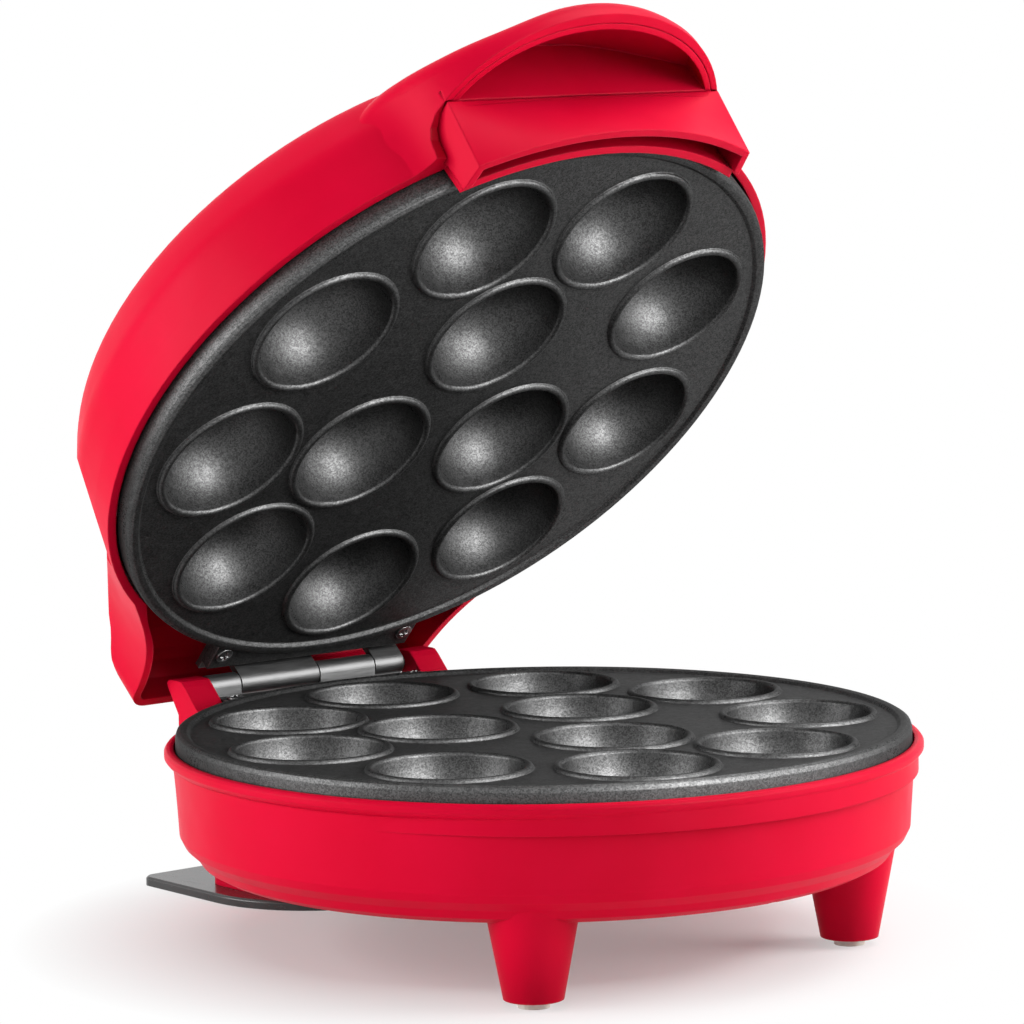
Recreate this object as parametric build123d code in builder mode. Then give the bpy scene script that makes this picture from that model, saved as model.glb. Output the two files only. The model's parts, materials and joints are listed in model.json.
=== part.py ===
from build123d import *
from math import cos, radians, sin, sqrt
import os

os.makedirs("parts", exist_ok=True)

# Millimetres. Z is up, X runs along the hinge, the hinge is at +Y and the handle at -Y.
# The origin lies on the surface the object stands on, under the middle of its footprint.
# Pieces are shaped about the centre of the plates and set to the footprint's middle at the end.

# ---- overall ----
plate_height = 62.2  # top of the lower plate's bead above the standing surface
plate_gap = 2.0  # between the two plates' beads with the lid closed
lid_open = 47.9  # opening of the lid in the modelled pose, degrees
wall = 2.5  # moulded plastic walls

# ---- cooking plates ----
plate_r = 103.3
edge_shift = plate_r - 103.3  # what lies around the plate moves out with its edge
plate_depth = 7.0  # height of the turned-down edge
plate_skin = 3.0
edge_thick = 3.0
floor_drop = 1.2  # flat face below the top of the bead
bead_width = 4.2
cup_r = 20.4
cup_centre_drop = 0.2
cup_skin = 2.5
outer_ring_r = 73.4
inner_ring_r = 29.84
collar_r = 21.5
collar_tube = 1.15
outer_angles = [10 + 40 * i for i in range(9)]
inner_angles = [30, 150, 270]
post_ring_r = 91.0
post_angles = [30, 150, 270]
post_r = 4.5
post_drop = 26.0  # lower end of the posts below the bead
lug_half = 37.0
lug_rear = 106.0 + edge_shift
lug_drop = 1.2
lug_thick = 3.8

# ---- heating ----
heater_ring_r = 51.6
heater_r = 3.25
heater_gap = 0.05
rib_half = 2.6
rib_drop = 15.6
heater_seat = 1.6  # depth of the tube in its groove
lead_x = 9.0
shield_r = 97.5 + edge_shift
shield_thick = 0.8
boss_r = 6.6
stat_r = 7.9
stat_h = 7.5
clamp_angles = [30, 150, 270]
clamp_ring_r = 59.5
clamp_post_r = 3.2
clamp_inner_r = 47.5
clamp_outer_r = 63.0
clamp_width = 8.0
clamp_thick = 1.0

# ---- hinge ----
hinge_y = 114.34 + edge_shift - 1.1254 * plate_gap
hinge_rise = 0.07 + 0.4995 * plate_gap  # pin axis above the lower plate's bead
barrel_r = 3.5
pin_r = 1.5
pin_gap = 0.05
leaf_thick = 2.0
leaf_half = 36.0
leaf_front = 95.0 + edge_shift
knuckle_gap = 0.4
knuckle_ends = [-25.0, 4.0, 25.0]  # middles of the gaps between knuckles
hinge_screw_x = 33.5
hinge_screw_y = 100.2 + edge_shift

# ---- base ----
rim_r = 106.5 + edge_shift
band_shift = 4.0  # forward offset of the band that thickens the front of the rim
band_drop = 13.0
body_r = 102.7 + edge_shift
body_bottom_r = 97.0 + edge_shift
body_depth = 38.0
leg_x = 57.6
leg_y = -63.3
leg_tip_r = 8.15
leg_top_r = 14.0
leg_tip_z = 2.2
pad_r = 4.35
pad_set = 2.0
stem_half = 30.0
stem_front = 78.0 + edge_shift
stem_rear = 123.0 + edge_shift
stem_corner = 8.0
stem_top = 50.0
stem_shoulder = 36.0
block_half = 47.5
block_front = 90.0 + edge_shift
block_rear = 112.0 + edge_shift
block_top_drop = 7.6
block_low_drop = 32.0
block_taper = 12.5  # the block's lower corners slope in to the stem by this much
ear_inner = 37.5
ear_rise = 4.5
stand_half = 38.0
stand_centre_y = 106.0 + edge_shift
stand_rear = 144.5 + edge_shift
stand_screw_x = 18.0
stand_screw_ys = (88.0 + edge_shift, 113.0 + edge_shift)
stand_thick = 2.7
stand_corner = 4.0
inlet_r = 4.0
inlet_z = 26.0
terminal_y = 100.0 + edge_shift

# ---- lid ----
dome_h = 46.0
lid_rim = 6.0  # lid rim behind the face of the lid plate
shell_r = 106.6 + edge_shift
shell_inner_r = 104.1 + edge_shift
neck_half = 54.0
neck_rear = 126.0 + edge_shift
neck_corner = 6.5
visor_half = 52.6
visor_nose = 131.8 + edge_shift
visor_base_y = 92.0 + edge_shift
visor_round = 7.0
recess_half = 49.7
recess_nose = 128.9 + edge_shift
recess_base_y = 95.0 + edge_shift
bar_front_r = 114.0 + edge_shift
bar_back = 90.0 + edge_shift
bar_half = 48.5
bar_bottom = -4.5
bar_top = 16.5
crease_y = -107.0 - edge_shift
liner = 1.8
fit = 0.2
handle_screw_x = 30.0
handle_screw_y = -97.6 - edge_shift
handle_screw_w = 11.6
lens_r = 3.0
lens_x = 9.0
lens_y = -58.0
shell_screw_x = 52.0
shell_screw_y = 93.0 + edge_shift

# ---- screws ----
screw_r = 1.5
screw_head_r = 2.9
screw_head_h = 1.8
clamp_screw_r = 1.25
clamp_head_r = 2.4
clamp_head_h = 1.5

top = plate_height
closed = plate_height + plate_gap
axis_z = plate_height + hinge_rise
heater_level = heater_seat - rib_drop - heater_r  # tube centre, plate's bead at zero
heater_low = heater_level - heater_r
hinge_axis = Axis((0, hinge_y, axis_z), (1, 0, 0))


def polar(radius, angle):
    return (radius * cos(radians(angle)), radius * sin(radians(angle)))


def outward(points):
    """Outline points as (distance from the middle, z), moved out with the plate's edge."""
    return [(reach + edge_shift, z) for reach, z in points]


def opened(solid):
    """Turns a lid piece from its closed place to the modelled opening."""
    return solid.rotate(hinge_axis, -lid_open)


def flipped(solid):
    """Turns a lower piece built about z = 0 over to the lid's side, bead at the closed height."""
    return solid.mirror(Plane.XY).moved(Location((0, 0, closed)))


def side_solid(points, half):
    """Prism along X over a closed outline given as (y, z)."""
    with BuildPart() as prism:
        with BuildSketch(Plane.YZ):
            with BuildLine():
                Polyline(*points, close=True)
            make_face()
        extrude(amount=half, both=True)
    return prism.part


def turned(points):
    """Solid of revolution over a closed outline given as (r, z)."""
    with BuildPart() as body:
        with BuildSketch(Plane.XZ):
            with BuildLine():
                Polyline(*points, close=True)
            make_face()
        revolve(axis=Axis.Z)
    return body.part


def ring(outer, inner, low, high):
    with BuildPart() as body:
        with BuildSketch(Plane.XY.offset(low)):
            Circle(outer)
            if inner > 0:
                Circle(inner, mode=Mode.SUBTRACT)
        extrude(amount=high - low)
    return body.part


def screw(length, head_r=screw_head_r, head_h=screw_head_h, shank_r=screw_r):
    """Pan-head cross-recess screw, underside of the head at z = 0, shank downward."""
    with BuildPart() as body:
        with BuildSketch(Plane.XZ):
            with BuildLine():
                Polyline((0, 0), (head_r, 0), (head_r, 0.45 * head_h))
                RadiusArc((head_r, 0.45 * head_h), (0, head_h), 2.4 * head_r)
                Line((0, head_h), (0, 0))
            make_face()
        revolve(axis=Axis.Z)
        with Locations((0, 0, -length / 2)):
            Cylinder(shank_r, length)
        with BuildSketch(Plane.XY.offset(head_h)):
            Rectangle(1.25 * head_r, 0.28 * head_r)
            Rectangle(0.28 * head_r, 1.25 * head_r)
        extrude(amount=-0.6 * head_h, mode=Mode.SUBTRACT)
    return body.part


def plate_body():
    """Cast plate with twelve half-ball cups, bead top at z = 0 and cups downward."""
    face = -floor_drop
    inner = plate_r - edge_thick
    with BuildPart() as body:
        with BuildSketch(Plane.XZ):
            with BuildLine():
                Polyline(
                    (0, face),
                    (plate_r - bead_width, face),
                    (plate_r - bead_width + 1.0, -0.2),
                    (plate_r - bead_width + 2.0, 0),
                    (plate_r - 1.4, 0),
                    (plate_r - 0.4, -0.6),
                    (plate_r, -1.8),
                    (plate_r, -plate_depth),
                    (inner, -plate_depth),
                    (inner, face - plate_skin),
                    (0, face - plate_skin),
                    close=True,
                )
            make_face()
        revolve(axis=Axis.Z)
        # rear lug that the hinge leaf is screwed to
        with BuildSketch(Plane.XY.offset(-lug_drop)):
            with Locations((0, (lug_rear + 80) / 2)):
                Rectangle(2 * lug_half, lug_rear - 80)
            Circle(plate_r - 2, mode=Mode.SUBTRACT)
        extrude(amount=-lug_thick)
        cups = [polar(outer_ring_r, a) for a in outer_angles]
        cups += [polar(inner_ring_r, a) for a in inner_angles]
        with Locations(*[(x, y, face) for x, y in cups]):
            Torus(collar_r, collar_tube)
        with Locations(*[(x, y, -cup_centre_drop) for x, y in cups]):
            Sphere(cup_r + cup_skin, arc_size1=-90, arc_size2=-3, align=(Align.NONE,) * 3)
        # rib carrying the heating ring, central boss and mounting posts
        with BuildSketch(Plane.XY.offset(face - 1)):
            Circle(heater_ring_r + rib_half)
            Circle(heater_ring_r - rib_half, mode=Mode.SUBTRACT)
            Circle(boss_r)
        extrude(amount=-(rib_drop + face - 1))
        with BuildSketch(Plane.XY.offset(face - 1)):
            with Locations(*[polar(post_ring_r, a) for a in post_angles]):
                Circle(post_r)
        extrude(amount=-(post_drop + face - 1))
        with BuildSketch(Plane.XY.offset(face - 1)):
            with Locations(*[polar(clamp_ring_r, a) for a in clamp_angles]):
                Circle(clamp_post_r)
        extrude(amount=heater_low - (face - 1))
        # seat of the heating tube
        with Locations((0, 0, heater_level)):
            Torus(heater_ring_r, heater_r + heater_gap, mode=Mode.SUBTRACT)
        with Locations(*[(x, y, -cup_centre_drop) for x, y in cups]):
            Sphere(cup_r, mode=Mode.SUBTRACT)
        # screw pilot holes
        with BuildSketch(Plane.XY.offset(heater_low)):
            with Locations(*[polar(clamp_ring_r, a) for a in clamp_angles]):
                Circle(clamp_screw_r)
        extrude(amount=7, mode=Mode.SUBTRACT)
        with BuildSketch(Plane.XY.offset(-post_drop)):
            with Locations(*[polar(post_ring_r, a) for a in post_angles]):
                Circle(screw_r)
        extrude(amount=10, mode=Mode.SUBTRACT)
        with BuildSketch(Plane.XY.offset(-lug_drop)):
            with Locations((-hinge_screw_x, hinge_screw_y), (hinge_screw_x, hinge_screw_y)):
                Circle(screw_r + 0.3)
        extrude(amount=-lug_thick, mode=Mode.SUBTRACT)
    return body.part



def heater_ring():
    """Sheathed ring heater with two cold ends turned down, centred for a plate at z = 0."""
    level = heater_level
    gap = 6.0
    with BuildPart() as body:
        with BuildSketch(Plane.XZ):
            with Locations((heater_ring_r, level)):
                Circle(heater_r)
        revolve(axis=Axis.Z, revolution_arc=360 - 2 * gap)
        half = body.part.rotate(Axis.Z, 90 + gap)
    with BuildPart() as turned_ring:
        add(half)
        for angle in (90 - gap, 90 + gap):
            x, y = polar(heater_ring_r, angle)
            with Locations((x, y, level)):
                Sphere(heater_r)
            with Locations((x, y, level - 5.5)):
                Cylinder(heater_r, 11)
            with Locations((x, y, level - 12.5)):
                Cylinder(1.2, 5)
    return turned_ring.part


def heater_clamps():
    """Three straps holding the heating ring against its seat."""
    with BuildPart() as body:
        for angle in clamp_angles:
            with BuildSketch(Plane.XY.offset(heater_low)):
                with Locations(Location((0, 0, 0), (0, 0, angle))):
                    with Locations(((clamp_inner_r + clamp_outer_r) / 2, 0)):
                        Rectangle(clamp_outer_r - clamp_inner_r, clamp_width)
                    with Locations((clamp_ring_r, 0)):
                        Circle(clamp_screw_r, mode=Mode.SUBTRACT)
            extrude(amount=-clamp_thick)
    return body.part


def heat_shield():
    """Shallow reflector pan under the plate, fixed at the ends of the plate's posts."""
    with BuildPart() as body:
        add(
            turned(
                [
                    (0, -post_drop - 3.2),
                    (78, -post_drop - 3.2),
                    (84, -post_drop),
                    (shield_r, -post_drop),
                    (shield_r, -post_drop - shield_thick),
                    (84.4, -post_drop - shield_thick),
                    (78.4, -post_drop - 3.2 - shield_thick),
                    (0, -post_drop - 3.2 - shield_thick),
                ]
            )
        )
        with BuildSketch(Plane.XY.offset(-post_drop + 1)):
            with Locations(*[polar(post_ring_r, a) for a in post_angles]):
                Circle(screw_r + 0.2)
            with Locations(*[polar(66, 20 + 40 * i) for i in range(9)]):
                Circle(3.0)
            with Locations((-lead_x, heater_ring_r - 2), (lead_x, heater_ring_r - 2)):
                Rectangle(12, 14)
            Circle(9.5)
        extrude(amount=-8, mode=Mode.SUBTRACT)
    return body.part


def thermostat():
    """Snap-disc thermostat: cap against the boss, body, two tab terminals."""
    with BuildPart() as body:
        with Locations((0, 0, -rib_drop - 1.25)):
            Cylinder(stat_r, 2.5)
        with Locations((0, 0, -rib_drop - 2.5 - (stat_h - 2.5) / 2)):
            Cylinder(stat_r - 0.6, stat_h - 2.5)
        for x in (-4.5, 4.5):
            with Locations((x, 0, -rib_drop - stat_h - 1.6)):
                Box(0.8, 6.3, 3.4)
    return body.part


def screws_at(places, length, z, head_r=screw_head_r, head_h=screw_head_h, shank_r=screw_r):
    """Group of identical screws, heads downward, underside of the heads at height z."""
    one = screw(length, head_r, head_h, shank_r).rotate(Axis.X, 180)
    with BuildPart() as group:
        for x, y in places:
            add(one.moved(Location((x, y, z))))
    return group.part


post_places = [polar(post_ring_r, a) for a in post_angles]
shell_screw_places = [(-shell_screw_x, shell_screw_y), (shell_screw_x, shell_screw_y)]
clamp_places = [polar(clamp_ring_r, a) for a in clamp_angles]
hinge_places = [(-hinge_screw_x, hinge_screw_y), (hinge_screw_x, hinge_screw_y)]
stand_screw_places = [(x, y) for x in (-stand_screw_x, stand_screw_x) for y in stand_screw_ys]
half_gap = knuckle_gap / 2
cut_1, cut_2, cut_3 = knuckle_ends
lower_knuckles = [(-leaf_half, cut_1 - half_gap), (cut_2 + half_gap, cut_3 - half_gap)]
upper_knuckles = [(cut_1 + half_gap, cut_2 - half_gap), (cut_3 + half_gap, leaf_half)]


def leaf(knuckles, pin_z):
    """Pressed hinge leaf under a plate whose bead is at z = 0, rolled knuckles about the pin."""
    flat = -lug_drop - lug_thick
    with BuildPart() as body:
        with BuildSketch(Plane.XY.offset(flat)):
            with Locations((0, (leaf_front + hinge_y) / 2 - 1)):
                Rectangle(2 * leaf_half, hinge_y - leaf_front - 2)
            with Locations(*hinge_places):
                Circle(screw_r, mode=Mode.SUBTRACT)
        extrude(amount=-leaf_thick)
        add(ring(plate_r + 0.3, 0, flat - 4, flat + 4), mode=Mode.SUBTRACT)
        for left, right in knuckles:
            with BuildSketch(Plane.YZ.offset(left)):
                with Locations((hinge_y - barrel_r + leaf_thick / 2, (flat - leaf_thick + pin_z) / 2)):
                    Rectangle(leaf_thick, pin_z - flat + leaf_thick)
                with Locations((hinge_y, pin_z)):
                    Circle(barrel_r)
                    Circle(pin_r + pin_gap, mode=Mode.SUBTRACT)
            extrude(amount=right - left)
    return body.part


# ================= base =================

rim_points = [
    (0, top - body_depth),
    (body_bottom_r - 3.0, top - body_depth),
    (body_bottom_r, top - body_depth + 1.6),
    (body_bottom_r + 1.6, top - body_depth + 4.0),
    (body_r - 1.2, top - body_depth + 6.6),
    (body_r, top - body_depth + 9.0),
    (body_r + 0.8, top - 16.0),
    (body_r + 1.4, top - 9.0),
    (rim_r - 0.9, top - 8.1),
    (rim_r, top - 7.0),
    (rim_r, top - 5.6),
    (rim_r - 0.6, top - 4.8),
    (rim_r - 1.6, top - 4.5),
    (plate_r + 0.6, top - 4.6),
    (plate_r + 0.6, top - plate_depth),
    (0, top - plate_depth),
]
hollow_points = [
    (0, top - body_depth + wall),
    (body_bottom_r - 4.0, top - body_depth + wall),
    (body_bottom_r - wall, top - body_depth + wall + 2.0),
    (body_r - wall, top - body_depth + 10.0),
    (plate_r - edge_thick - 0.4, top - 12.0),
    (plate_r - edge_thick, top - plate_depth),
    (plate_r - edge_thick, top),
    (0, top),
]
ear_points = outward(
    [
        (96.0, top - block_top_drop - 2),
        (98.5, top - 5.0),
        (102.5, top - 1.0),
        (106.2, top + ear_rise - 1.6),
        (107.8, top + ear_rise - 0.2),
        (109.0, top + ear_rise),
        (114.0, top + ear_rise),
        (115.0, top + ear_rise - 1.0),
        (114.4, top + ear_rise - 2.6),
        (109.6, top - 5.4),
        (109.6, top - block_top_drop - 2),
    ]
)

stem_profile = [
    (stem_front - 1, 0),
    (stem_rear, 0),
    (stem_rear, stem_shoulder),
    (stem_rear - 3, stem_shoulder + 6),
    (block_rear - 1, stem_top),
    (stem_front - 1, stem_top),
]
with BuildPart() as stem_maker:
    with BuildSketch(Plane.XY.offset(stand_thick)):
        with Locations((0, (stem_front + stem_rear) / 2)):
            RectangleRounded(2 * stem_half, stem_rear - stem_front, stem_corner)
    extrude(amount=stem_top - stand_thick)
stem_blank = stem_maker.part
with BuildPart() as block_maker:
    with BuildSketch(Plane.XY.offset(top - block_low_drop)):
        with Locations((0, (block_front + block_rear) / 2)):
            RectangleRounded(2 * block_half, block_rear - block_front, 5)
    extrude(amount=block_low_drop - block_top_drop)
block_blank = block_maker.part


def block_profile(inset):
    """Rear view of the block under the hinge, lower corners sloping in to the stem."""
    half = block_half - inset
    low = top - block_low_drop + inset
    high = top - block_top_drop - inset
    narrow = block_half - block_taper - 0.6 * inset
    right = [(half, high), (half, low + block_taper), (narrow, low)]
    return right + [(-x, z) for x, z in reversed(right)]


def rear_view(points, near, far):
    """Prism along Y from near to far over a closed outline given as (x, z)."""
    with BuildPart() as prism:
        with BuildSketch(Plane.XZ.offset(-near)):
            with BuildLine():
                Polyline(*points, close=True)
            make_face()
        extrude(amount=near - far)
    return prism.part


with BuildPart() as base_housing:
    add(turned(rim_points))
    # the rim is deeper towards the handle, over a circle set forward
    with BuildSketch(Plane.XY.offset(top - band_drop)):
        with Locations((0, -band_shift)):
            Circle(rim_r - 0.3 - band_shift)
    extrude(amount=band_drop - 5.8)
    for x in (-leg_x, leg_x):
        with Locations((x, leg_y, (leg_tip_z + top - 29) / 2)):
            Cone(leg_tip_r, leg_top_r, top - 29 - leg_tip_z)
    add(stem_blank & side_solid(stem_profile, 40))
    add(block_blank & rear_view(block_profile(0), block_front - 10, block_rear + 8))
    with BuildSketch(Plane.XY.offset(top - 20)):
        with Locations((0, 100.3 + edge_shift)):
            Rectangle(2 * leaf_half + 5, 20.6)
    extrude(amount=20 - lug_drop - lug_thick - leaf_thick)
    for side in (-1, 1):
        with BuildSketch(Plane.YZ.offset(side * (ear_inner + block_half) / 2)):
            with BuildLine():
                Polyline(*ear_points, close=True)
            make_face()
        extrude(amount=(block_half - ear_inner) / 2, both=True)
    # room for the plate and its mechanism
    add(turned(hollow_points), mode=Mode.SUBTRACT)
    add(ring(plate_r + 0.6, 0, top - plate_depth, top + 20), mode=Mode.SUBTRACT)
    with BuildSketch(Plane.XY.offset(top - lug_drop - lug_thick - leaf_thick)):
        with Locations((0, 100.5 + edge_shift)):
            Rectangle(2 * lug_half + 0.6, 31)
    extrude(amount=20, mode=Mode.SUBTRACT)
    # hollow legs, stem and rear block
    for x in (-leg_x, leg_x):
        with Locations((x, leg_y, (8 + top - 36) / 2)):
            Cone(4.2, 9.0, top - 36 - 8, mode=Mode.SUBTRACT)
        with Locations((x, leg_y, leg_tip_z)):
            Cylinder(pad_r, 2 * pad_set, mode=Mode.SUBTRACT)
    with BuildSketch(Plane.XY.offset(stand_thick + 6)):
        with Locations((0, (stem_front + stem_rear) / 2)):
            RectangleRounded(2 * (stem_half - wall), stem_rear - stem_front - 2 * wall, stem_corner - wall)
    extrude(amount=stem_shoulder - stand_thick - 6, mode=Mode.SUBTRACT)
    add(rear_view(block_profile(wall), block_front, block_rear - wall), mode=Mode.SUBTRACT)
    # bosses under the plate's posts
    with BuildSketch(Plane.XY.offset(top - body_depth + 1)):
        with Locations(*post_places):
            Circle(post_r + 0.6)
    extrude(amount=body_depth - post_drop - shield_thick - 1)
    with BuildSketch(Plane.XY.offset(top - body_depth)):
        with Locations(*post_places):
            Circle(screw_r + 0.2)
    extrude(amount=20, mode=Mode.SUBTRACT)
    with BuildSketch(Plane.XY.offset(top - body_depth)):
        with Locations(*post_places):
            Circle(screw_head_r + 0.5)
    extrude(amount=4.0, mode=Mode.SUBTRACT)
    # stand plate screw pilots and the power inlet hole
    with BuildSketch(Plane.XY.offset(stand_thick)):
        with Locations(*stand_screw_places):
            Circle(screw_r)
    extrude(amount=5.0, mode=Mode.SUBTRACT)
    with BuildSketch(Plane.XZ.offset(-stem_rear - 1)):
        with Locations((0, inlet_z)):
            Circle(inlet_r)
    extrude(amount=wall + 2, mode=Mode.SUBTRACT)
    # pilot holes of the hinge screws
    with BuildSketch(Plane.XY.offset(top - lug_drop - lug_thick - leaf_thick)):
        with Locations(*hinge_places):
            Circle(screw_r)
    extrude(amount=-7, mode=Mode.SUBTRACT)
base_housing.part.label = "base_housing"

with BuildPart() as foot_pads:
    for x in (-leg_x, leg_x):
        with Locations((x, leg_y, (leg_tip_z + pad_set) / 2)):
            Cylinder(pad_r, leg_tip_z + pad_set)
foot_pads.part.label = "foot_pads"

with BuildPart() as stand_plate:
    with BuildSketch():
        with Locations((0, stand_centre_y)):
            Circle(stand_half)
        with Locations((0, (stand_centre_y + stand_rear) / 2)):
            Rectangle(2 * stand_half, stand_rear - stand_centre_y)
        fillet(vertices().filter_by(lambda v: v.Y > stand_rear - 1), stand_corner)
    extrude(amount=stand_thick)
    chamfer(edges().group_by(Axis.Z)[-1], 0.6)
    with BuildSketch(Plane.XY):
        with Locations(*stand_screw_places):
            Circle(screw_r + 0.2)
    extrude(amount=stand_thick, mode=Mode.SUBTRACT)
    with BuildSketch(Plane.XY):
        with Locations(*stand_screw_places):
            Circle(screw_head_r + 0.2)
    extrude(amount=1.7, mode=Mode.SUBTRACT)
stand_plate.part.label = "stand_plate"

with BuildPart() as stand_screws:
    add(screws_at(stand_screw_places, 7.0 - 1.0, 1.7, screw_head_r, 1.5))
stand_screws.part.label = "stand_screws"

with BuildPart() as base_plate:
    add(plate_body().moved(Location((0, 0, top))))
base_plate.part.label = "base_plate"

with BuildPart() as base_heater:
    add(heater_ring().moved(Location((0, 0, top))))
base_heater.part.label = "base_heater"

with BuildPart() as base_heater_clamps:
    add(heater_clamps().moved(Location((0, 0, top))))
base_heater_clamps.part.label = "base_heater_clamps"

clamp_head_z = heater_low - clamp_thick
clamp_screws = screws_at(clamp_places, 7.0, clamp_head_z, clamp_head_r, clamp_head_h, clamp_screw_r)

with BuildPart() as base_clamp_screws:
    add(clamp_screws.moved(Location((0, 0, top))))
base_clamp_screws.part.label = "base_clamp_screws"

with BuildPart() as base_heat_shield:
    add(heat_shield().moved(Location((0, 0, top))))
base_heat_shield.part.label = "base_heat_shield"

with BuildPart() as base_thermostat:
    add(thermostat().moved(Location((0, 0, top))))
base_thermostat.part.label = "base_thermostat"

with BuildPart() as base_plate_screws:
    add(screws_at(post_places, 17.0, top - body_depth + 4.0))
base_plate_screws.part.label = "base_plate_screws"

with BuildPart() as power_inlet:
    with BuildSketch(Plane.XZ.offset(-stem_rear)):
        with Locations((0, inlet_z)):
            Circle(inlet_r + 2.2)
    extrude(amount=-2.0)
    with BuildSketch(Plane.XZ.offset(-stem_rear)):
        with Locations((0, inlet_z)):
            Circle(inlet_r - 0.05)
    extrude(amount=wall)
    with BuildSketch(Plane.XZ.offset(-stem_rear + wall)):
        with Locations((0, inlet_z)):
            Circle(inlet_r + 1.2)
    extrude(amount=1.4)
    with BuildSketch(Plane.XZ.offset(-stem_rear - 3)):
        with Locations((0, inlet_z)):
            Circle(inlet_r - 1.0)
    extrude(amount=12, mode=Mode.SUBTRACT)
power_inlet.part.label = "power_inlet"

# terminal block on the floor of the stem
with BuildPart() as terminal_block:
    with BuildSketch(Plane.XY.offset(stand_thick + 6)):
        with Locations((0, terminal_y)):
            Rectangle(26, 12)
    extrude(amount=9)
    with BuildSketch(Plane.XY.offset(stand_thick + 6 + 9)):
        with Locations(*[(x, terminal_y + y) for x in (-8, 0, 8) for y in (-3, 3)]):
            Circle(1.6)
    extrude(amount=-4, mode=Mode.SUBTRACT)
terminal_block.part.label = "terminal_block"

with BuildPart() as hinge_lower_leaf:
    add(leaf(lower_knuckles, hinge_rise).moved(Location((0, 0, top))))
hinge_lower_leaf.part.label = "hinge_lower_leaf"

with BuildPart() as hinge_pin:
    with BuildSketch(Plane.YZ.offset(-leaf_half - 0.6)):
        with Locations((hinge_y, axis_z)):
            Circle(pin_r)
    extrude(amount=2 * leaf_half + 1.2)
    for x in (-leaf_half - 1.4, leaf_half + 0.3):
        with BuildSketch(Plane.YZ.offset(x)):
            with Locations((hinge_y, axis_z)):
                Circle(pin_r + 0.6)
        extrude(amount=1.1)
hinge_pin.part.label = "hinge_pin"

hinge_screw = screw(10.0, 2.6, 1.4)
with BuildPart() as hinge_lower_screws:
    for x, y in hinge_places:
        add(hinge_screw.moved(Location((x, y, top - lug_drop))))
hinge_lower_screws.part.label = "hinge_lower_screws"

# ================= lid, built closed and then turned open =================

facet_at = (87.8, 60.4, 8.0)  # where each facet starts just above the rim
facet_lean = (4.0, 2.75, 1.0)
dome_curve = outward([(70, dome_h), (84, dome_h - 0.6), (91, dome_h - 2.0), (97, 42)])
dome_curve += outward([(101, 37), (104.2, 30.5), (106.2, 22)])
dome_inner = outward([(70, dome_h - wall), (84, dome_h - 3.3), (90, dome_h - 4.8), (95, 40)])
dome_inner += outward([(98.8, 35.6), (101.8, 30), (103.7, 22)])


def dome(curve, rim_radius, low, start):
    """Lid dome as a solid of revolution; curve runs from the flat crown to the side wall."""
    with BuildPart() as body:
        with BuildSketch(Plane.XZ):
            with BuildLine():
                Line((0, curve[0][1]), curve[0])
                Spline(*curve, tangents=((1, 0), (0.02, -1)))
                Polyline(curve[-1], (rim_radius, start), (rim_radius, low), (0, low), (0, curve[0][1]))
            make_face()
        revolve(axis=Axis.Z)
    return body.part


def corner_facets(inset):
    """Material outside the two slanting facets where the dome narrows toward the neck."""
    with BuildPart() as body:
        for side in (-1, 1):
            foot = (side * facet_at[0], facet_at[1], facet_at[2])
            facet = Plane(origin=foot, z_dir=(side * facet_lean[0], facet_lean[1], facet_lean[2]))
            with BuildSketch(facet.offset(edge_shift - inset)):
                Rectangle(150, 150)
            extrude(amount=50)
    return body.part


def visor_plan(half, nose, base_y, back, low, high):
    """Upright prism over the rounded plan of the visor."""
    with BuildPart() as body:
        with BuildSketch(Plane.XY.offset(low)):
            with BuildLine():
                EllipticalCenterArc((0, -base_y), half, nose - base_y, start_angle=180, arc_size=180)
                Polyline((half, -base_y), (half, -back), (-half, -back), (-half, -base_y))
            make_face()
        extrude(amount=high - low)
    return body.part


def neck_plan(inset, low, high):
    """Upright prism over the plan of the rear neck that covers the hinge."""
    half = neck_half - inset
    rear = neck_rear - inset
    corner = neck_corner - inset
    flank = [
        (73.0 - inset, 77.6 + edge_shift - inset),
        (67.0 - inset, 86.0 + edge_shift),
        (61.0 - inset, 95.5 + edge_shift),
        (56.4 - inset, 106.0 + edge_shift),
        (54.6 - inset, 113.5 + edge_shift),
        (half, rear - corner),
    ]
    mirrored = [(-x, y) for x, y in reversed(flank)]
    with BuildPart() as body:
        with BuildSketch(Plane.XY.offset(low)):
            with BuildLine():
                Spline(*flank, tangents=((-0.58, 0.81), (0, 1)))
                RadiusArc((half, rear - corner), (half - corner, rear), -corner)
                Line((half - corner, rear), (-half + corner, rear))
                RadiusArc((-half + corner, rear), (-half, rear - corner), -corner)
                Spline(*mirrored, tangents=((0, -1), (-0.58, -0.81)))
                Polyline(mirrored[-1], (-60, 40), (60, 40), flank[0])
            make_face()
        extrude(amount=high - low)
    return body.part


# Heights from here on are above the lid plate's face. Half arches of the visor's roof, each at its own y.
roof_x = [0, 20, 30, 40, 50, 57, 64]
visor_roof = [
    (-60, [45.2, 45.2, 45.2, 45.1, 44.8, 44.2, 43.0]),
    (-72, [45.6, 45.5, 45.4, 45.0, 43.6, 41.4, 37.5]),
    (-85, [46.0, 45.8, 45.2, 43.6, 39.6, 34.0, 24.0]),
    (-96, [45.6, 44.4, 42.2, 39.2, 35.0, 30.0, 22.0]),
    (-108, [41.6, 39.0, 36.0, 32.8, 28.8, 25.0, 20.0]),
    (-120, [35.0, 31.9, 29.0, 26.0, 22.5, 19.4, 16.0]),
    (-134, [24.0, 21.5, 19.0, 16.3, 13.1, 10.4, 8.0]),
]
web_x = 61.0  # where the visor's side starts to leave the dome
web_end = 11.6  # degrees around the visor's ellipse where that side ends
web_levels = [(6.0, 106.6), (16.0, 106.5), (22.0, 106.2), (30.5, 104.2), (37.0, 101.0), (42.0, 97.0)]
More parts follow.
